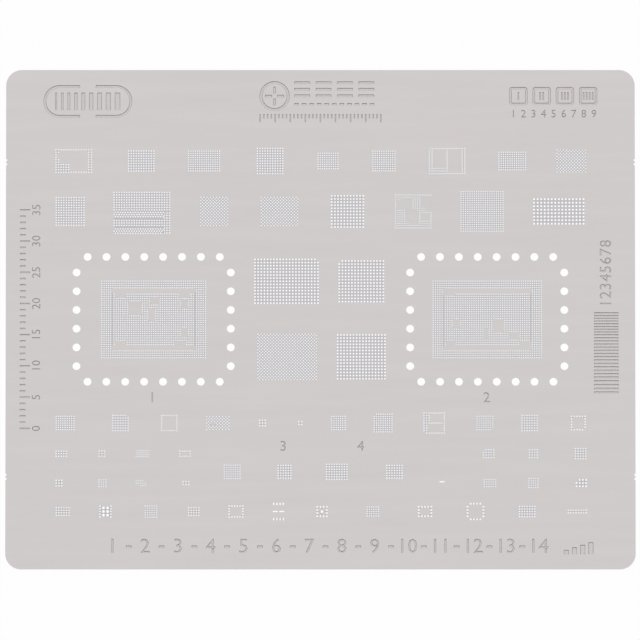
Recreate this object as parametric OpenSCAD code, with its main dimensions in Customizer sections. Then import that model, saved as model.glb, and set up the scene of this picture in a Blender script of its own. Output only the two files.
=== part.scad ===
// Solder paste and reballing stencil.
// One thin sheet of spring-hard stainless steel with rounded corners, cut
// through with patches of paste apertures that each match the ball pattern of
// one chip. Two frames of larger round holes let the sheet expand round its two
// biggest fields when it is heated, so that it stays flat.
// Lengths are in millimetres. The sheet lies flat, its middle over the origin.

/* [Sheet] */
// Length of the sheet
sheet_l = 100; // [92:1:130]
// Width of the sheet
sheet_w = 80; // [72:1:110]
// Thickness of the steel
sheet_t = 0.12; // [0.08:0.01:0.3]
// Radius of the four corners
corner_r = 2.5; // [0.5:0.5:5]

/* [Break-off tabs] */
// Distance of the tabs from the middle, along the two short sides
tab_y = 25.2; // [15:0.2:30]
// Length of the nick that a tab leaves in the edge
nick_l = 1.0; // [0.8:0.1:2]
// Depth of the nick
nick_d = 0.17; // [0.1:0.01:0.5]
// Width of the stub of the tab in the middle of its nick
stub_w = 0.3; // [0.2:0.05:0.6]

/* [Relief holes] */
// Diameter of a relief hole
relief_d = 1.25; // [0.8:0.05:2]
// Distance from one relief hole to the next
relief_pitch = 3.0; // [2.4:0.1:3.2]
// Distance of each relief frame from the middle of the sheet
relief_x = 26.5; // [24:0.5:28]
// Distance of the two long rows from the middle of their frame
relief_row_y = 10; // [8.5:0.5:12]
// Distance of the two side columns from the middle of their frame
relief_col_x = 12.25; // [11:0.25:14]
// Holes in each long row
relief_row_n = 8; // [2:2:8]
// Holes in each side column
relief_col_n = 6; // [2:2:6]

/* [Apertures] */
// Pitch of the finest ball patterns
pitch_fine = 0.35; // [0.3:0.01:0.4]
// Pitch of the middle ball patterns
pitch_mid = 0.40; // [0.35:0.01:0.45]
// Pitch of the small open patterns
pitch_loose = 0.43; // [0.4:0.01:0.48]
// Pitch of the wide ball patterns
pitch_wide = 0.50; // [0.45:0.01:0.55]
// Pitch of the coarsest ball pattern
pitch_coarse = 0.56; // [0.5:0.01:0.6]
// Diameter of an aperture, as a share of the way to its nearest neighbour
aperture_share = 0.5; // [0.4:0.05:0.65]
// Diameter of the few round thermal pads
pad_d = 0.45; // [0.3:0.05:0.5]
// Width of the slotted apertures
slot_w = 0.2; // [0.15:0.05:0.3]
// Length of the short slotted apertures
slot_short_l = 0.4; // [0.3:0.05:0.6]
// Length of the long slotted apertures
slot_long_l = 0.8; // [0.5:0.1:0.9]

/* [Hidden] */

// A patch is [x, y, columns, rows, pitch, kind, blanks]. x and y are its
// middle. blanks are the windows without apertures, each
// [first column, last column, first row, last row], counted from the top left.
GRID = 0;    // square ball pattern
STAGGER = 1; // every second place of a grid at half the pitch
HEX = 2;     // close-packed rows, each moved by half a pitch

// Lines on which the patches stand, from the top of the sheet down
line_a = 25.4;
line_b = 17.3;
line_c = 6.1;
line_d = -6.0;
line_e = -16.6;
line_f = -21.5;
line_g = -24.4;
line_h = -26.2;
line_i = -30.75;

top_patches = [
    [-39.25, line_a, 15, 10, pitch_mid, GRID, [[2, 12, 1, 5], [6, 12, 6, 8], [1, 1, 2, 3]]],
    [-28.5, line_a, 11, 9, pitch_mid, GRID, []],
    [-18.5, line_a, 15, 10, pitch_fine, GRID, []],
    [-8.0, line_a, 11, 11, pitch_mid, GRID, []],
    [1.2, line_a, 10, 8, pitch_fine, GRID, []],
    [10.1, line_a, 11, 10, pitch_fine, GRID, []],
    [20.15, line_a, 15, 11, pitch_mid, GRID, [[0, 0, 0, 0], [2, 6, 1, 7], [8, 12, 1, 9]]],
    [30.5, line_a, 13, 9, pitch_fine, GRID, []],
    [39.9, line_a, 19, 15, pitch_wide, STAGGER, []],
];

second_patches = [
    [-39.8, line_b, 12, 12, pitch_mid, GRID, []],
    [-16.9, line_b, 18, 19, pitch_wide, STAGGER, []],
    [-6.5, line_b, 24, 19, pitch_wide, STAGGER, []],
    [4.3, line_b, 11, 11, pitch_wide, GRID, []],
    [14.75, line_b, 17, 16, pitch_fine, GRID,
        [[12, 16, 1, 5], [3, 7, 2, 2], [1, 7, 3, 6], [14, 16, 6, 7], [5, 9, 7, 11],
         [10, 10, 8, 13], [12, 15, 9, 11], [6, 9, 12, 12], [7, 9, 13, 13]]],
    [25.7, line_b, 20, 19, pitch_fine, GRID, []],
    [37.9, line_b, 15, 8, pitch_coarse, GRID, []],
];

// The wide patch of the second line is built up of five blocks: a grid on top,
// three bands of three rows below it, and three columns beside the bands
wide_x = -28.4;
wide_columns = 23;
wide_side = 3;
wide_patches = [
    [wide_x, line_b + 1.65, wide_columns, 8, pitch_mid, GRID, []],
    [band_x(), line_b - 0.5, band_columns(), 3, pitch_mid, HEX, []],
    [band_x(), line_b - 1.85, band_columns(), 3, pitch_mid, GRID, []],
    [band_x(), line_b - 3.15, band_columns(), 3, pitch_mid, HEX, []],
    [wide_x + (wide_columns - wide_side) * pitch_mid / 2, line_b - 1.85, wide_side, 9,
        pitch_mid, GRID, []],
];
function band_columns() = wide_columns - wide_side;
function band_x() = wide_x - wide_side * pitch_mid / 2;

middle_patches = [
    [-5.4, line_c, 21, 15, pitch_wide, GRID, [[20, 20, 0, 0]]],
    [6.5, line_c, 15, 14, pitch_wide, GRID, [[0, 0, 0, 0]]],
    [-5.3, line_d, 38, 30, pitch_wide, STAGGER, []],
    [6.5, line_d, 16, 15, pitch_wide, GRID, []],
];

// Each big field is an outer band round an inner grid, both centred in a frame
// of relief holes
field_patches = [
    [-relief_x, 0, 48, 36, pitch_fine, GRID, [[5, 42, 4, 31]]],
    [-relief_x, 0, 37, 24, pitch_fine, GRID,
        [[1, 5, 0, 1], [30, 34, 0, 1], [17, 20, 2, 4], [31, 33, 3, 6], [7, 12, 4, 9],
         [16, 18, 7, 12], [31, 33, 16, 19], [1, 5, 22, 23], [28, 32, 22, 23]]],
    [relief_x, 0, 50, 36, pitch_fine, GRID, [[5, 44, 4, 31]]],
    [relief_x, 0, 39, 24, pitch_fine, GRID,
        [[0, 4, 0, 0], [4, 6, 12, 15], [22, 26, 12, 17], [18, 19, 16, 20],
         [29, 33, 18, 20], [1, 4, 22, 23], [34, 38, 22, 23]]],
];

lower_patches = [
    [-40.55, line_e, 9, 7, pitch_fine, GRID, []],
    [-31.75, line_e, 7, 7, pitch_mid, GRID, [[6, 6, 0, 0]]],
    [-24.0, line_e, 7, 7, pitch_mid, GRID, [[1, 5, 1, 5]]],
    [-16.3, line_e, 15, 9, pitch_wide, STAGGER, [[3, 5, 4, 5]]],
    [-9.2, line_e, 3, 3, pitch_loose, GRID, []],
    [-3.2, line_e, 2, 2, pitch_loose, GRID, []],
    [2.85, line_e, 7, 7, pitch_fine, GRID, []],
    [9.95, line_e, 9, 9, pitch_fine, GRID, [[0, 0, 0, 0]]],
    [18.05, line_e, 9, 9, pitch_mid, GRID, [[3, 7, 1, 3], [2, 7, 5, 7], [0, 0, 8, 8]]],
    [26.1, line_e, 8, 7, pitch_fine, GRID, [[7, 7, 6, 6]]],
    [33.2, line_e, 7, 7, pitch_mid, GRID, []],
    [40.95, line_e, 6, 6, pitch_loose, GRID, [[1, 4, 1, 4], [5, 5, 5, 5]]],
    [-41.15, line_f, 5, 3, pitch_mid, GRID, []],
    [-34.7, line_f, 3, 3, pitch_mid, GRID, []],
    [-28.3, line_f, 6, 4, pitch_fine, HEX, []],
    [-21.5, line_f, 5, 3, pitch_mid, GRID, [[1, 3, 1, 1]]],
    [26.7, line_f, 5, 4, pitch_mid, GRID, [[0, 0, 0, 0]]],
    [33.8, line_f, 4, 4, pitch_mid, GRID, []],
    [41.3, line_f, 5, 5, pitch_mid, GRID, []],
    [-14.0, line_g, 8, 7, pitch_fine, GRID, []],
    [-5.7, line_g, 6, 6, pitch_mid, GRID, []],
    [2.6, line_g, 9, 7, pitch_mid, GRID, []],
    [11.75, line_g, 7, 6, pitch_mid, GRID, []],
    [-41.5, line_h, 3, 3, pitch_loose, GRID, []],
    [-34.6, line_h, 4, 4, pitch_fine, GRID, []],
    [-28.5, line_h, 5, 3, pitch_fine, GRID, [[0, 1, 2, 2], [4, 4, 0, 0]]],
    [-21.35, line_h, 3, 2, pitch_loose, GRID, []],
    [26.9, line_h, 6, 4, pitch_fine, GRID, []],
    [33.8, line_h, 5, 5, pitch_fine, GRID, []],
    [41.4, line_h, 4, 3, pitch_wide, GRID, [[0, 0, 0, 0]]],
];

bottom_patches = [
    [-40.9, line_i, 6, 4, pitch_mid, GRID, []],
    [-34.1, line_i, 5, 5, pitch_loose, GRID, [[1, 3, 0, 4]]],
    [-26.9, line_i, 6, 6, pitch_fine, GRID, [[0, 0, 1, 1]]],
    [-20.1, line_i, 5, 4, pitch_mid, GRID, []],
    [-13.4, line_i, 6, 5, pitch_loose, GRID, [[1, 4, 1, 3]]],
    [0.25, line_i, 4, 4, pitch_wide, GRID, [[1, 2, 1, 2]]],
    [8.3, line_i, 6, 5, pitch_fine, GRID, []],
    [16.6, line_i, 5, 4, pitch_wide, GRID, [[1, 3, 1, 2]]],
    [24.6, line_i, 6, 6, pitch_wide, GRID,
        [[1, 4, 1, 4], [0, 0, 0, 0], [5, 5, 0, 0], [0, 0, 5, 5], [5, 5, 5, 5]]],
    [32.8, line_i, 7, 5, pitch_mid, GRID, []],
    [40.75, line_i, 8, 2, pitch_mid, GRID, []],
];

patches = concat(top_patches, second_patches, wide_patches, middle_patches,
    field_patches, lower_patches, bottom_patches);

// A patch of many apertures is cut coarser, on the same outline: each cut stands
// for a block of apertures, in its middle, and is as wide as their areas added
// up. So the open share of the sheet, and its weight, stay true.
whole_up_to = 20;
halved_up_to = 50;
thirds_up_to = 250;
function aperture_count(p) = len([for (i = [0:p[2] - 1], j = [0:p[3] - 1])
    if (filled(i, j, p[5]) && !blanked(i, j, p[6])) 1]);
function coarser(count) =
    count <= whole_up_to ? 1 : count <= halved_up_to ? 2 : count <= thirds_up_to ? 3 : 4;

// Chip with round thermal pads between two columns of apertures
padded_x = -34.1;
padded_step = [0.66, 0.58];
// Ring of apertures with one pad in the middle
ringed_x = 0.25;
// Slotted connector patch: two rows of short slots round a pair of long ones
slotted_x = -6.65;
slotted_row_y = 1.22;
slotted_n = 4;
// Single slot on its own
lone_slot = [19.3, -26.0];

steel = [0.81, 0.80, 0.79];
hole_facets = 24;
cut_clear = 1;

// Outline: two crossed rectangles with a round corner at each end
module outline() {
    square([sheet_l - 2 * corner_r, sheet_w], center = true);
    square([sheet_l, sheet_w - 2 * corner_r], center = true);
    for (sx = [-1, 1], sy = [-1, 1])
        translate([sx * (sheet_l / 2 - corner_r), sy * (sheet_w / 2 - corner_r)])
            circle(r = corner_r, $fn = 96);
}

// Nick in the edge at each tab, on both sides of the stub that broke off
module tab_nicks() {
    half_l = (nick_l - stub_w) / 2;
    for (sx = [-1, 1], sy = [-1, 1], side = [-1, 1])
        translate([sx * (sheet_l / 2 - nick_d + (nick_d + cut_clear) / 2),
                sy * tab_y + side * (stub_w + half_l) / 2])
            square([nick_d + cut_clear, half_l], center = true);
}

// One frame of relief holes round a big field
module relief_frame() {
    for (i = [0:relief_row_n - 1], side = [-1, 1])
        translate([(i - (relief_row_n - 1) / 2) * relief_pitch, side * relief_row_y])
            circle(d = relief_d, $fn = hole_facets);
    for (j = [0:relief_col_n - 1], side = [-1, 1])
        translate([side * relief_col_x, (j - (relief_col_n - 1) / 2) * relief_pitch])
            circle(d = relief_d, $fn = hole_facets);
}

function in_window(i, j, w) = i >= w[0] && i <= w[1] && j >= w[2] && j <= w[3];
function blanked(i, j, blanks) = len([for (w = blanks) if (in_window(i, j, w)) 1]) > 0;
function filled(i, j, kind) = kind != STAGGER || (i + j) % 2 == 0;
// Number of cuts across n places, and the place in the middle of a cut's block
function cuts_across(n, s) = max(1, round(n / s));
function place_of(i, block) = (i + 0.5) * block - 0.5;

// One patch of apertures
module patch(p) {
    columns = p[2];
    rows = p[3];
    kind = p[5];
    step_x = kind == STAGGER ? p[4] / 2 : p[4];
    step_y = kind == STAGGER ? p[4] / 2 : kind == HEX ? p[4] * sqrt(3) / 2 : p[4];
    nearest = kind == STAGGER ? p[4] / sqrt(2) : p[4];
    s = coarser(aperture_count(p));
    cut_columns = cuts_across(columns, s);
    cut_rows = cuts_across(rows, s);
    block = [columns / cut_columns, rows / cut_rows];
    cut_d = nearest * aperture_share * sqrt(block[0] * block[1]);
    translate([p[0], p[1]])
        for (i = [0:cut_columns - 1], j = [0:cut_rows - 1]) {
            column = place_of(i, block[0]);
            row = place_of(j, block[1]);
            shift = kind == HEX && cut_rows > 1 && j % 2 == 0 ? block[0] / 2 : 0;
            if (filled(i, j, kind) && !blanked(round(column), round(row), p[6]))
                translate([(column - (columns - 1) / 2 + shift) * step_x,
                        ((rows - 1) / 2 - row) * step_y])
                    circle(d = cut_d, $fn = hole_facets);
        }
}

// Round pads and slots, which are cut larger than the ball apertures
module pads_and_slots() {
    for (i = [-0.5, 0.5], j = [-1:1])
        translate([padded_x + i * padded_step[0], line_i + j * padded_step[1]])
            circle(d = pad_d, $fn = hole_facets);
    translate([ringed_x, line_i]) circle(d = pad_d, $fn = hole_facets);
    for (i = [0:slotted_n - 1], side = [-1, 1])
        translate([slotted_x + (i - (slotted_n - 1) / 2) * pitch_wide,
                line_i + side * slotted_row_y])
            square([slot_w, slot_short_l], center = true);
    for (side = [-1, 1])
        translate([slotted_x + side * pitch_wide, line_i])
            square([slot_long_l, slot_w], center = true);
    translate(lone_slot) square([slot_long_l, slot_w], center = true);
}

// The whole sheet: one blank, cut through in one pass
module stencil_sheet() {
    color(steel)
        linear_extrude(sheet_t)
            difference() {
                outline();
                tab_nicks();
                for (side = [-1, 1]) translate([side * relief_x, 0]) relief_frame();
                for (p = patches) patch(p);
                pads_and_slots();
            }
}

stencil_sheet();
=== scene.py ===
from math import radians, sqrt

import bmesh
import bpy
from mathutils import Matrix, Vector


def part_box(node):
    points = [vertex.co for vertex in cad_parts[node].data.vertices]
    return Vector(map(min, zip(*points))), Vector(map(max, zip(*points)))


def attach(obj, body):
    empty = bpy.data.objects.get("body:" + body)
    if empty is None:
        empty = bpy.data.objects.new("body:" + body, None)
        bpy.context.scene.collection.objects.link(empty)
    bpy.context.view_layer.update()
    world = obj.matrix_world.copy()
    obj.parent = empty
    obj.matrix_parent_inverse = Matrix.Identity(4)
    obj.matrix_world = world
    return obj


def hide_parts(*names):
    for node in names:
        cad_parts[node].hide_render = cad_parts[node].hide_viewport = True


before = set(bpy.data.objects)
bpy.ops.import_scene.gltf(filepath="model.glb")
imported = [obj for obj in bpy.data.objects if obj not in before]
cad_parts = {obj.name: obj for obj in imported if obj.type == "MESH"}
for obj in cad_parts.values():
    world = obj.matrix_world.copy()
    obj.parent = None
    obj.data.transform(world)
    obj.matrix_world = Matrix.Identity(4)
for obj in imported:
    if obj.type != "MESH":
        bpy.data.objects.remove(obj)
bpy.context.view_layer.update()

# ---- The blank ----
# One sheet of spring-hard stainless steel with rounded corners. The two short
# sides keep the nicks and stubs of the four tabs that held it in its panel until
# it was broken out. It is drawn flat in millimetres and gets its gauge later.
low, high = (1000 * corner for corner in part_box("stencil_sheet"))
sheet_l = high.x - low.x
sheet_w = high.y - low.y
sheet_t = high.z - low.z
corner_r = 2.5
corner_segments = 12
tab_y = 25.2
nick_l = 1.0
nick_d = 0.17
stub_w = 0.3

sheet = bmesh.new()


def add_rectangle(part, x, y, w, h):
    place = Matrix.Translation((x, y, 0)) @ Matrix.Diagonal((w, h, 1, 1))
    made = bmesh.ops.create_grid(part, x_segments=1, y_segments=1, size=0.5, matrix=place)
    return made["verts"][0].link_faces[0]


def is_nick(place):
    off_tab = abs(abs(place.y) - tab_y)
    return abs(place.x) > sheet_l / 2 - nick_d and stub_w / 2 < off_tab < nick_l / 2


add_rectangle(sheet, 0, 0, sheet_l, sheet_w)
bmesh.ops.bevel(sheet, geom=sheet.verts[:], offset=corner_r, segments=corner_segments,
                profile=0.5, affect="VERTICES", material=-1)
cuts = [((side * (sheet_l / 2 - nick_d), 0, 0), (1, 0, 0)) for side in (-1, 1)]
for tab in (-tab_y, tab_y):
    for reach in (-nick_l / 2, -stub_w / 2, stub_w / 2, nick_l / 2):
        cuts.append(((0, tab + reach, 0), (0, 1, 0)))
for place, direction in cuts:
    bmesh.ops.bisect_plane(sheet, geom=sheet.verts[:] + sheet.edges[:] + sheet.faces[:],
                           plane_co=place, plane_no=direction)
nicks = [face for face in sheet.faces if is_nick(face.calc_center_median())]
bmesh.ops.delete(sheet, geom=nicks, context="FACES")
bmesh.ops.dissolve_faces(sheet, faces=sheet.faces[:], use_verts=False)
bmesh.ops.delete(sheet, geom=sheet.faces[:], context="FACES_ONLY")

# ---- The relief holes ----
# A frame of round holes round each of the two biggest fields. They are cut right
# through, and let the sheet expand there when it is heated, so that it lies flat.
relief_d = 1.25
relief_pitch = 3.0
relief_x = 26.5
relief_row_y = 10
relief_col_x = 12.25
relief_row_n = 8
relief_col_n = 6
relief_sides = 24


def add_hole(part, x, y, d, sides, turn=0):
    place = Matrix.Translation((x, y, 0)) @ Matrix.Rotation(turn, 4, "Z")
    bmesh.ops.create_circle(part, segments=sides, radius=d / 2, matrix=place)


for frame_x in (-relief_x, relief_x):
    for side in (-1, 1):
        for i in range(relief_row_n):
            along = (i - (relief_row_n - 1) / 2) * relief_pitch
            add_hole(sheet, frame_x + along, side * relief_row_y, relief_d, relief_sides)
        for j in range(relief_col_n):
            along = (j - (relief_col_n - 1) / 2) * relief_pitch
            add_hole(sheet, frame_x + side * relief_col_x, along, relief_d, relief_sides)

# ---- The apertures ----
# Each patch matches the solder balls of one chip, at its own pitch. The apertures
# are cut by laser with four straight sides. The narrow webs between them get a
# duller finish and a darker colour, which is painted shade between the holes.
# Patches that stand in or against each other are a group, cut as one.
FINE, MID, LOOSE, WIDE, COARSE = 0.35, 0.40, 0.43, 0.50, 0.56
GRID, STAGGER, HEX = "square grid", "every second place", "close-packed rows"
# Material slot of the webs between apertures, whose darker colour is painted shade
SHADED_WEB = 2
aperture_share = 0.52
longest_web = 0.5
group_rim = 0.3

line_a, line_b, line_c, line_d, line_e = 25.4, 17.3, 6.1, -6.0, -16.6
line_f, line_g, line_h, line_i = -21.5, -24.4, -26.2, -30.75

# A patch is (x, y, columns, rows, pitch, kind, blanks), and a blank is
# (first column, last column, first row, last row), counted from the top left
single_patches = [
    (-39.25, line_a, 15, 10, MID, GRID, [(2, 12, 1, 5), (6, 12, 6, 8), (1, 1, 2, 3)]),
    (-28.5, line_a, 11, 9, MID, GRID, []),
    (-18.5, line_a, 15, 10, FINE, GRID, []),
    (-8.0, line_a, 11, 11, MID, GRID, []),
    (1.2, line_a, 10, 8, FINE, GRID, []),
    (10.1, line_a, 11, 10, FINE, GRID, []),
    (20.15, line_a, 15, 11, MID, GRID, [(0, 0, 0, 0), (2, 6, 1, 7), (8, 12, 1, 9)]),
    (30.5, line_a, 13, 9, FINE, GRID, []),
    (39.9, line_a, 19, 15, WIDE, STAGGER, []),
    (-39.8, line_b, 12, 12, MID, GRID, []),
    (-16.9, line_b, 18, 19, WIDE, STAGGER, []),
    (-6.5, line_b, 24, 19, WIDE, STAGGER, []),
    (4.3, line_b, 11, 11, WIDE, GRID, []),
    (14.75, line_b, 17, 16, FINE, GRID,
     [(12, 16, 1, 5), (3, 7, 2, 2), (1, 7, 3, 6), (14, 16, 6, 7), (5, 9, 7, 11),
      (10, 10, 8, 13), (12, 15, 9, 11), (6, 9, 12, 12), (7, 9, 13, 13)]),
    (25.7, line_b, 20, 19, FINE, GRID, []),
    (37.9, line_b, 15, 8, COARSE, GRID, []),
    (-5.4, line_c, 21, 15, WIDE, GRID, [(20, 20, 0, 0)]),
    (6.5, line_c, 15, 14, WIDE, GRID, [(0, 0, 0, 0)]),
    (-5.3, line_d, 38, 30, WIDE, STAGGER, []),
    (6.5, line_d, 16, 15, WIDE, GRID, []),
    (-40.55, line_e, 9, 7, FINE, GRID, []),
    (-31.75, line_e, 7, 7, MID, GRID, [(6, 6, 0, 0)]),
    (-24.0, line_e, 7, 7, MID, GRID, [(1, 5, 1, 5)]),
    (-16.3, line_e, 15, 9, WIDE, STAGGER, [(3, 5, 4, 5)]),
    (-9.2, line_e, 3, 3, LOOSE, GRID, []),
    (-3.2, line_e, 2, 2, LOOSE, GRID, []),
    (2.85, line_e, 7, 7, FINE, GRID, []),
    (9.95, line_e, 9, 9, FINE, GRID, [(0, 0, 0, 0)]),
    (18.05, line_e, 9, 9, MID, GRID, [(3, 7, 1, 3), (2, 7, 5, 7), (0, 0, 8, 8)]),
    (26.1, line_e, 8, 7, FINE, GRID, [(7, 7, 6, 6)]),
    (33.2, line_e, 7, 7, MID, GRID, []),
    (40.95, line_e, 6, 6, LOOSE, GRID, [(1, 4, 1, 4), (5, 5, 5, 5)]),
    (-41.15, line_f, 5, 3, MID, GRID, []),
    (-34.7, line_f, 3, 3, MID, GRID, []),
    (-28.3, line_f, 6, 4, FINE, HEX, []),
    (-21.5, line_f, 5, 3, MID, GRID, [(1, 3, 1, 1)]),
    (26.7, line_f, 5, 4, MID, GRID, [(0, 0, 0, 0)]),
    (33.8, line_f, 4, 4, MID, GRID, []),
    (41.3, line_f, 5, 5, MID, GRID, []),
    (-14.0, line_g, 8, 7, FINE, GRID, []),
    (-5.7, line_g, 6, 6, MID, GRID, []),
    (2.6, line_g, 9, 7, MID, GRID, []),
    (11.75, line_g, 7, 6, MID, GRID, []),
    (-41.5, line_h, 3, 3, LOOSE, GRID, []),
    (-34.6, line_h, 4, 4, FINE, GRID, []),
    (-28.5, line_h, 5, 3, FINE, GRID, [(0, 1, 2, 2), (4, 4, 0, 0)]),
    (-21.35, line_h, 3, 2, LOOSE, GRID, []),
    (26.9, line_h, 6, 4, FINE, GRID, []),
    (33.8, line_h, 5, 5, FINE, GRID, []),
    (41.4, line_h, 4, 3, WIDE, GRID, [(0, 0, 0, 0)]),
    (-40.9, line_i, 6, 4, MID, GRID, []),
    (-26.9, line_i, 6, 6, FINE, GRID, [(0, 0, 1, 1)]),
    (-20.1, line_i, 5, 4, MID, GRID, []),
    (-13.4, line_i, 6, 5, LOOSE, GRID, [(1, 4, 1, 3)]),
    (8.3, line_i, 6, 5, FINE, GRID, []),
    (16.6, line_i, 5, 4, WIDE, GRID, [(1, 3, 1, 2)]),
    (24.6, line_i, 6, 6, WIDE, GRID,
     [(1, 4, 1, 4), (0, 0, 0, 0), (5, 5, 0, 0), (0, 0, 5, 5), (5, 5, 5, 5)]),
    (32.8, line_i, 7, 5, MID, GRID, []),
    (40.75, line_i, 8, 2, MID, GRID, []),
]
groups = [[patch] for patch in single_patches]

# The wide patch of the second line: a grid on top, three bands of three rows
# below it, and three columns beside the bands
wide_x, wide_columns, wide_side = -28.4, 23, 3
band_columns = wide_columns - wide_side
band_x = wide_x - wide_side * MID / 2
side_x = wide_x + band_columns * MID / 2
groups.append([
    (wide_x, line_b + 1.65, wide_columns, 8, MID, GRID, []),
    (band_x, line_b - 0.5, band_columns, 3, MID, HEX, []),
    (band_x, line_b - 1.85, band_columns, 3, MID, GRID, []),
    (band_x, line_b - 3.15, band_columns, 3, MID, HEX, []),
    (side_x, line_b - 1.85, wide_side, 9, MID, GRID, []),
])

# The two big fields, each an outer band round an inner grid
groups.append([
    (-relief_x, 0, 48, 36, FINE, GRID, [(5, 42, 4, 31)]),
    (-relief_x, 0, 37, 24, FINE, GRID,
     [(1, 5, 0, 1), (30, 34, 0, 1), (17, 20, 2, 4), (31, 33, 3, 6), (7, 12, 4, 9),
      (16, 18, 7, 12), (31, 33, 16, 19), (1, 5, 22, 23), (28, 32, 22, 23)]),
])
groups.append([
    (relief_x, 0, 50, 36, FINE, GRID, [(5, 44, 4, 31)]),
    (relief_x, 0, 39, 24, FINE, GRID,
     [(0, 4, 0, 0), (4, 6, 12, 15), (22, 26, 12, 17), (18, 19, 16, 20),
      (29, 33, 18, 20), (1, 4, 22, 23), (34, 38, 22, 23)]),
])


def in_window(i, j, window):
    return window[0] <= i <= window[1] and window[2] <= j <= window[3]


def add_aperture(part, x, y, w, h):
    add_hole(part, 0, 0, sqrt(2), 4, radians(45))
    corners = part.verts[-4:]
    bmesh.ops.transform(part, verts=corners,
                        matrix=Matrix.Translation((x, y, 0)) @ Matrix.Diagonal((w, h, 1, 1)))


def add_patch(part, patch):
    x, y, columns, rows, pitch, kind, blanks = patch
    step_x = pitch / 2 if kind == STAGGER else pitch
    step_y = {GRID: pitch, STAGGER: pitch / 2, HEX: pitch * sqrt(3) / 2}[kind]
    nearest = pitch / sqrt(2) if kind == STAGGER else pitch
    side = nearest * aperture_share
    for i in range(columns):
        for j in range(rows):
            if kind == STAGGER and (i + j) % 2:
                continue
            if any(in_window(i, j, window) for window in blanks):
                continue
            shift = 0.5 if kind == HEX and j % 2 == 0 else 0
            add_aperture(part, x + (i - (columns - 1) / 2 + shift) * step_x,
                         y + ((rows - 1) / 2 - j) * step_y, side, side)


# Fills a group between its apertures and the rectangle that the sheet leaves open
def cut_group(part):
    lowest = Vector(map(min, zip(*(vert.co for vert in part.verts))))
    highest = Vector(map(max, zip(*(vert.co for vert in part.verts))))
    middle = (lowest + highest) / 2
    span = highest - lowest
    rim = (middle.x, middle.y, span.x + 2 * group_rim, span.y + 2 * group_rim)
    for target in (part, sheet):
        field = add_rectangle(target, *rim)
        bmesh.ops.delete(target, geom=[field], context="FACES_ONLY")
    bmesh.ops.triangle_fill(part, edges=part.edges[:], use_beauty=True, normal=(0, 0, 1))
    # The narrow web faces get the darker steel, which is painted shade between the apertures
    for face in part.faces:
        if max(edge.calc_length() for edge in face.edges) < longest_web:
            face.material_index = SHADED_WEB
    mesh = bpy.data.meshes.new("cut_group")
    part.to_mesh(mesh)
    part.free()
    return mesh


cut_meshes = []
for group in groups:
    part = bmesh.new()
    for patch in group:
        add_patch(part, patch)
    cut_meshes.append(cut_group(part))

# ---- Pads and slots ----
# A few places take more paste than one ball: round thermal pads between columns
# of apertures, and the slots of a connector. They are cut as the apertures are.
pad_d = 0.45
pad_sides = 12
slot_w = 0.2
slot_short_l = 0.4
slot_long_l = 0.8
padded_x = -34.1
padded_step = (0.66, 0.58)
ringed_x = 0.25
slotted_x = -6.65
slotted_row_y = 1.22
slotted_n = 4
lone_slot = (19.3, -26.0)

part = bmesh.new()
add_patch(part, (padded_x, line_i, 5, 5, LOOSE, GRID, [(1, 3, 0, 4)]))
for i in (-0.5, 0.5):
    for j in (-1, 0, 1):
        add_hole(part, padded_x + i * padded_step[0], line_i + j * padded_step[1],
                 pad_d, pad_sides)
cut_meshes.append(cut_group(part))

part = bmesh.new()
add_patch(part, (ringed_x, line_i, 4, 4, WIDE, GRID, [(1, 2, 1, 2)]))
add_hole(part, ringed_x, line_i, pad_d, pad_sides)
cut_meshes.append(cut_group(part))

part = bmesh.new()
for side in (-1, 1):
    for i in range(slotted_n):
        add_aperture(part, slotted_x + (i - (slotted_n - 1) / 2) * WIDE,
                     line_i + side * slotted_row_y, slot_w, slot_short_l)
    add_aperture(part, slotted_x + side * WIDE, line_i, slot_long_l, slot_w)
cut_meshes.append(cut_group(part))

part = bmesh.new()
add_aperture(part, *lone_slot, slot_long_l, slot_w)
cut_meshes.append(cut_group(part))

# ---- Legends ----
# Plain marks etched half-way into the top face: scales, gauges of bars, frames
# and numbers. They are drawn here as flat areas, which are sunk further down.
ETCHED = 1
digit_height = 0.729
legends = bmesh.new()


def add_bar(x, y, w, h):
    add_rectangle(legends, x, y, w, h)


def add_frame(x, y, w, h, stroke, corner, segments=4):
    outer = add_rectangle(legends, x, y, w, h)
    rounded = bmesh.ops.bevel(legends, geom=outer.verts[:], offset=corner, profile=0.5,
                              segments=segments, affect="VERTICES", material=-1)
    inner = rounded["verts"][0].link_faces[0]
    bmesh.ops.inset_region(legends, faces=[inner], thickness=stroke,
                           use_even_offset=True, use_boundary=True)
    bmesh.ops.delete(legends, geom=[inner], context="FACES_ONLY")


def add_ring(x, y, d, stroke, sides=24):
    place = Matrix.Translation((x, y, 0))
    rims = []
    for radius in (d / 2, d / 2 - stroke):
        made = bmesh.ops.create_circle(legends, segments=sides, radius=radius, matrix=place)
        rims += {edge for vert in made["verts"] for edge in vert.link_edges}
    bmesh.ops.bridge_loops(legends, edges=rims)


def add_number(text, x, y, height, turn=0):
    curve = bpy.data.curves.new("number", "FONT")
    curve.body = text
    curve.size = height / digit_height
    curve.align_x = "CENTER"
    curve.align_y = "CENTER"
    curve.resolution_u = 2
    writing = bpy.data.objects.new("number", curve)
    mesh = bpy.data.meshes.new_from_object(writing)
    mesh.transform(Matrix.Translation((x, y, 0)) @ Matrix.Rotation(turn, 4, "Z"))
    legends.from_mesh(mesh)
    bpy.data.objects.remove(writing)
    bpy.data.curves.remove(curve)
    bpy.data.meshes.remove(mesh)


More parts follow.
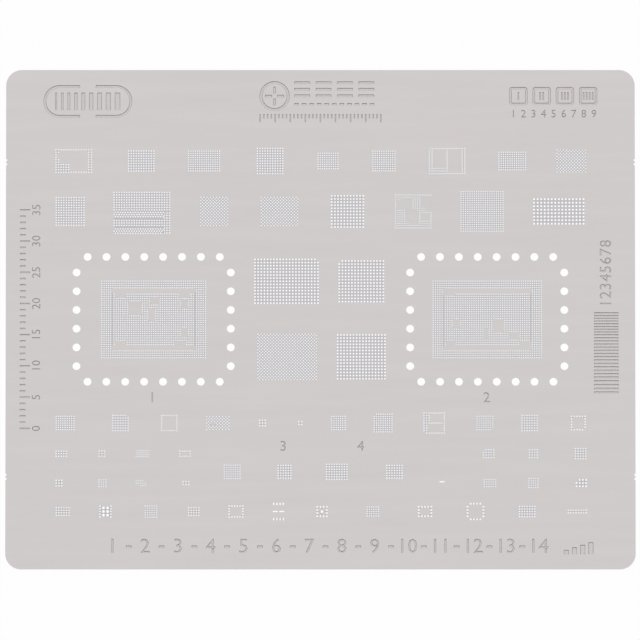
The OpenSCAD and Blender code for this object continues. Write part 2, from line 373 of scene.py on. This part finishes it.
# Border at the top left, open in the middle of its long sides, round a gauge of
# upright bars that widen
border_x, border_y = -37.0, 34.95
border_w, border_h = 14.1, 5.2
border_line, border_gap = 0.42, 2.5
upright_x, upright_h, upright_n = -42.2, 2.8, 9
upright_w, upright_growth, upright_gap = 0.3, 0.07, 0.64
add_frame(border_x, border_y, border_w, border_h, border_line, border_h / 2 - 0.05, 10)
for side in (-1, 1):
    bmesh.ops.bisect_plane(
        legends, geom=legends.verts[:] + legends.edges[:] + legends.faces[:],
        plane_co=(border_x + side * border_gap / 2, 0, 0), plane_no=(1, 0, 0))
opened = [face for face in legends.faces
          if abs(face.calc_center_median().x - border_x) < border_gap / 2]
bmesh.ops.delete(legends, geom=opened, context="FACES")
for i in range(upright_n):
    bar_w = upright_w + upright_growth * i
    add_bar(upright_x + bar_w / 2, border_y, bar_w, upright_h)
    upright_x += bar_w + upright_gap

# Scale up the left side, read from the right
scale_x, scale_foot, scale_n = -47.75, -17.5, 36
tick_w, tick_l, long_tick_l = 0.25, 0.9, 1.6
scale_number_x, scale_number_h = -45.1, 1.4
for i in range(scale_n):
    reach = long_tick_l if i % 5 == 0 else tick_l
    add_bar(scale_x + reach / 2, scale_foot + i, reach, tick_w)
for i in range(0, scale_n, 5):
    add_number(str(i), scale_number_x, scale_foot + i, scale_number_h, radians(90))

# Gauge of bars at widening pitches on the right side, and the numbers above it
gauge_x, gauge_y, gauge_w = 45.4, 1.0, 3.9
gauge_steps = ((0.44, 8), (0.5, 7), (0.55, 6), (0.6, 5))
gauge_number_y, gauge_number_step, gauge_number_h, gauge_number_n = 2.5, 1.37, 1.9, 8
for pitch, count in gauge_steps:
    for i in range(count):
        add_bar(gauge_x, gauge_y, gauge_w, pitch / 2)
        gauge_y -= pitch
for i in range(gauge_number_n):
    add_number(str(i + 1), gauge_x, gauge_number_y + gauge_number_step * i,
               gauge_number_h, radians(90))

# Numbers of the columns along the foot, with a dash between each two
foot_x, foot_y, foot_step, foot_n = -33.0, -36.4, 5.2, 14
foot_number_h, dash_l, dash_w = 2.4, 0.9, 0.4
for i in range(foot_n):
    add_number(str(i + 1), foot_x + i * foot_step, foot_y, foot_number_h)
    if i:
        add_bar(foot_x + (i - 0.5) * foot_step, foot_y, dash_l, dash_w)

# Steps of rising bars at the right end of the foot
stair_x, stair_foot, stair_step, stair_n = 39.0, -37.6, 1.3, 4
stair_w, stair_h, stair_rise = 0.8, 0.7, 0.4
for i in range(stair_n):
    bar_h = stair_h + stair_rise * i
    add_bar(stair_x + stair_step * i, stair_foot + bar_h / 2, stair_w, bar_h)

# Registration mark at the top middle: a cross of four arms in a ring
target_x, target_y, target_d, target_line = -7.3, 35.8, 4.8, 0.45
arm_out, arm_l, arm_w = 0.95, 1.1, 0.4
add_ring(target_x, target_y, target_d, target_line, 32)
for side in (-1, 1):
    add_bar(target_x + side * arm_out, target_y, arm_l, arm_w)
    add_bar(target_x, target_y + side * arm_out, arm_w, arm_l)

# Beside it three lines of long dashes and one of short ones, and a scale below
lines_x, lines_y, lines_w = -2.9, 36.9, 0.42
long_dash_l, long_dash_step, lines_step = 2.5, 3.4, 1.05
short_x, short_y, short_l, short_w, short_step = -3.8, 34.5, 0.75, 0.35, 1.2
fine_x, fine_y, fine_step, fine_n = -9.6, 32.9, 0.6, 33
fine_w, fine_l, fine_long_l = 0.22, 0.7, 1.3
for i in range(4):
    for j in range(3):
        add_bar(lines_x + i * long_dash_step, lines_y + (j - 1) * lines_step,
                long_dash_l, lines_w)
for i in range(11):
    add_bar(short_x + i * short_step, short_y, short_l, short_w)
for i in range(fine_n):
    reach = fine_long_l if i % 4 == 0 else fine_l
    add_bar(fine_x + i * fine_step, fine_y - reach / 2, fine_w, reach)

# Boxes that hold one to four bars at the top right, and a row of numbers
boxes_x, boxes_y, boxes_step = 31.5, 35.8, 3.7
box_size, box_line, box_corner = 2.9, 0.38, 0.4
tally_step, tally_w, tally_h = 0.48, 0.24, 1.3
row_x, row_y, row_step, row_number_h = 30.7, 32.9, 1.6, 1.3
for i in range(4):
    box_x = boxes_x + i * boxes_step
    add_frame(box_x, boxes_y, box_size, box_size, box_line, box_corner, 2)
    for j in range(i + 1):
        add_bar(box_x + (j - i / 2) * tally_step, boxes_y, tally_w, tally_h)
for i in range(9):
    add_number(str(i + 1), row_x + row_step * i, row_y, row_number_h)

# Small numbers beside the fields
field_number_h = 1.7
field_numbers = (("1", -26.7, -12.6), ("2", 26.4, -12.6),
                 ("3", -5.9, -20.4), ("4", 6.4, -20.4))
for text, x, y in field_numbers:
    add_number(text, x, y, field_number_h)

bmesh.ops.remove_doubles(legends, verts=legends.verts[:], dist=0.002)
for face in legends.faces:
    face.material_index = ETCHED
legend_mesh = bpy.data.meshes.new("legends")
legends.to_mesh(legend_mesh)
legends.free()
sheet.from_mesh(legend_mesh)

# ---- The sheet ----
# What is left between the cuts is filled, and the whole gets its gauge. Then the
# legends are sunk from the top, with sloping walls as an etchant leaves them.
etch_depth = 0.06
etch_wall = 0.08

rims = [edge for edge in sheet.edges if len(edge.link_faces) < 2]
bmesh.ops.triangle_fill(sheet, edges=rims, use_beauty=True, normal=(0, 0, 1))
for mesh in cut_meshes:
    sheet.from_mesh(mesh)
    bpy.data.meshes.remove(mesh)
bmesh.ops.remove_doubles(sheet, verts=sheet.verts[:], dist=0.001)
top = sheet.faces[:]
for face in top:
    face.normal_update()
    if face.normal.z < 0:
        face.normal_flip()
under = bmesh.ops.extrude_face_region(sheet, geom=top, use_keep_orig=True)
moved = [item for item in under["geom"] if isinstance(item, bmesh.types.BMVert)]
bmesh.ops.translate(sheet, verts=moved, vec=(0, 0, -sheet_t))
bmesh.ops.recalc_face_normals(sheet, faces=sheet.faces[:])
marks = [face for face in sheet.faces
         if face.material_index == ETCHED and face.normal.z > 0.5]
bmesh.ops.inset_region(sheet, faces=marks, thickness=etch_wall, depth=-etch_depth,
                       use_even_offset=True, use_boundary=True)
for face in sheet.faces:
    if face.normal.z < -0.5 and face.material_index == ETCHED:
        face.material_index = 0
bmesh.ops.transform(sheet, verts=sheet.verts[:],
                    matrix=Matrix.Scale(0.001, 4) @ Matrix.Translation((0, 0, high.z)))

sheet_mesh = bpy.data.meshes.new("stencil_sheet_cut")
sheet.to_mesh(sheet_mesh)
sheet.free()
stencil = bpy.data.objects.new("stencil_sheet_cut", sheet_mesh)
bpy.context.collection.objects.link(stencil)
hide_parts("stencil_sheet")
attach(stencil, "root")

# ---- Steel ----
# Stainless strip with a fine brushed finish along the sheet, the duller, evenly
# frosted face that etching leaves in the legends, and the webs between apertures,
# whose darker colour is painted shade.
steel_color = (0.655, 0.625, 0.618, 1)
# Darker colour of the webs between apertures: painted shade
shaded_web_color = (0.590, 0.575, 0.593, 1)
fine_streaks, fine_detail = (420, 3600, 1), 3
broad_streaks, broad_detail = (40, 500, 1), 2
fine_share = 0.7
streak_depth = 0.00002


def streaks(nodes, links, scale, detail):
    place = nodes.new("ShaderNodeMapping")
    place.inputs["Scale"].default_value = scale
    links.new(nodes["Texture Coordinate"].outputs["Object"], place.inputs["Vector"])
    noise = nodes.new("ShaderNodeTexNoise")
    noise.inputs["Scale"].default_value = 1
    noise.inputs["Detail"].default_value = detail
    links.new(place.outputs["Vector"], noise.inputs["Vector"])
    return noise.outputs["Fac"]


def steel(name, color, contrast, rough):
    material = bpy.data.materials.new(name)
    material.use_nodes = True
    nodes, links = material.node_tree.nodes, material.node_tree.links
    shader = nodes["Principled BSDF"]
    shader.inputs["Metallic"].default_value = 1
    nodes.new("ShaderNodeTexCoord")
    fine = streaks(nodes, links, fine_streaks, fine_detail)
    broad = streaks(nodes, links, broad_streaks, broad_detail)
    both = nodes.new("ShaderNodeMath")
    both.operation = "MULTIPLY_ADD"
    links.new(fine, both.inputs[0])
    both.inputs[1].default_value = fine_share
    links.new(broad, both.inputs[2])
    tone = nodes.new("ShaderNodeMapRange")
    tone.inputs["From Min"].default_value = fine_share / 2
    tone.inputs["From Max"].default_value = fine_share / 2 + 1
    tone.inputs["To Min"].default_value = 1 - contrast
    tone.inputs["To Max"].default_value = 1 + contrast
    links.new(both.outputs["Value"], tone.inputs["Value"])
    shade = nodes.new("ShaderNodeMix")
    shade.data_type = "RGBA"
    shade.blend_type = "MULTIPLY"
    shade.inputs["Factor"].default_value = 1
    shade.inputs["A"].default_value = color
    links.new(tone.outputs["Result"], shade.inputs["B"])
    links.new(shade.outputs["Result"], shader.inputs["Base Color"])
    gloss = nodes.new("ShaderNodeMapRange")
    gloss.inputs["To Min"].default_value = rough - 0.05
    gloss.inputs["To Max"].default_value = rough + 0.05
    links.new(fine, gloss.inputs["Value"])
    links.new(gloss.outputs["Result"], shader.inputs["Roughness"])
    bump = nodes.new("ShaderNodeBump")
    bump.inputs["Strength"].default_value = 0.05
    bump.inputs["Distance"].default_value = streak_depth
    links.new(fine, bump.inputs["Height"])
    links.new(bump.outputs["Normal"], shader.inputs["Normal"])
    return material


sheet_mesh.materials.append(steel("brushed_steel", steel_color, 0.04, 0.32))
sheet_mesh.materials.append(steel("etched_steel", steel_color, 0.01, 0.42))
sheet_mesh.materials.append(steel("shaded_web_steel", shaded_web_color, 0.02, 0.42))

# ---- Studio ----
# A plain white table under one soft light that comes from above and behind, as
# in a product shot. The camera looks almost straight down through a long lens.
table_size = 4.0
table_drop = 0.00001
camera_distance = 3.0
camera_tilt = radians(7.44)
frame_span = 0.10168
aim = Vector((-0.00007, -0.0001, 0))
table_glow = 0.97
light_from = (0, 0.55, 0.83)
dark_side, dark_until = 0.05, 0.1
bright_side, bright_from = 1.0, 0.75

table = bmesh.new()
bmesh.ops.create_grid(table, x_segments=1, y_segments=1, size=table_size / 2,
                      matrix=Matrix.Translation((0, 0, -table_drop)))
table_mesh = bpy.data.meshes.new("table")
table.to_mesh(table_mesh)
table.free()
table_top = bpy.data.objects.new("table", table_mesh)
bpy.context.collection.objects.link(table_top)

paper = bpy.data.materials.new("white_paper")
paper.use_nodes = True
nodes, links = paper.node_tree.nodes, paper.node_tree.links
nodes["Principled BSDF"].inputs["Base Color"].default_value = (0.9, 0.9, 0.9, 1)
nodes["Principled BSDF"].inputs["Roughness"].default_value = 0.9
white = nodes.new("ShaderNodeEmission")
rays = nodes.new("ShaderNodeLightPath")
seen = nodes.new("ShaderNodeMath")
seen.operation = "MAXIMUM"
links.new(rays.outputs["Is Camera Ray"], seen.inputs[0])
links.new(rays.outputs["Is Glossy Ray"], seen.inputs[1])
seen_through = nodes.new("ShaderNodeMath")
seen_through.operation = "MAXIMUM"
links.new(seen.outputs["Value"], seen_through.inputs[0])
links.new(rays.outputs["Is Transmission Ray"], seen_through.inputs[1])
share = nodes.new("ShaderNodeMath")
share.operation = "MULTIPLY"
share.inputs[1].default_value = table_glow
links.new(seen_through.outputs["Value"], share.inputs[0])
blend = nodes.new("ShaderNodeMixShader")
links.new(share.outputs["Value"], blend.inputs["Fac"])
links.new(nodes["Principled BSDF"].outputs["BSDF"], blend.inputs[1])
links.new(white.outputs["Emission"], blend.inputs[2])
links.new(blend.outputs["Shader"], nodes["Material Output"].inputs["Surface"])
table_mesh.materials.append(paper)

world = bpy.data.worlds.new("studio")
world.use_nodes = True
nodes, links = world.node_tree.nodes, world.node_tree.links
direction = nodes.new("ShaderNodeTexCoord")
towards_light = nodes.new("ShaderNodeVectorMath")
towards_light.operation = "DOT_PRODUCT"
towards_light.inputs[1].default_value = light_from
links.new(direction.outputs["Generated"], towards_light.inputs[0])
glow = nodes.new("ShaderNodeMapRange")
glow.inputs["From Min"].default_value = dark_until
glow.inputs["From Max"].default_value = bright_from
glow.inputs["To Min"].default_value = dark_side
glow.inputs["To Max"].default_value = bright_side
links.new(towards_light.outputs["Value"], glow.inputs["Value"])
links.new(glow.outputs["Result"], nodes["Background"].inputs["Strength"])
nodes["Background"].inputs["Color"].default_value = (1, 1, 1, 1)
bpy.context.scene.world = world

camera_data = bpy.data.cameras.new("camera")
camera_data.lens = camera_data.sensor_width * camera_distance / frame_span
camera = bpy.data.objects.new("camera", camera_data)
bpy.context.collection.objects.link(camera)
turn = Matrix.Rotation(camera_tilt, 4, "X")
camera.matrix_world = (Matrix.Translation(aim) @ turn
                       @ Matrix.Translation((0, 0, camera_distance)))
bpy.context.scene.camera = camera
bpy.context.scene.view_settings.view_transform = "Standard"
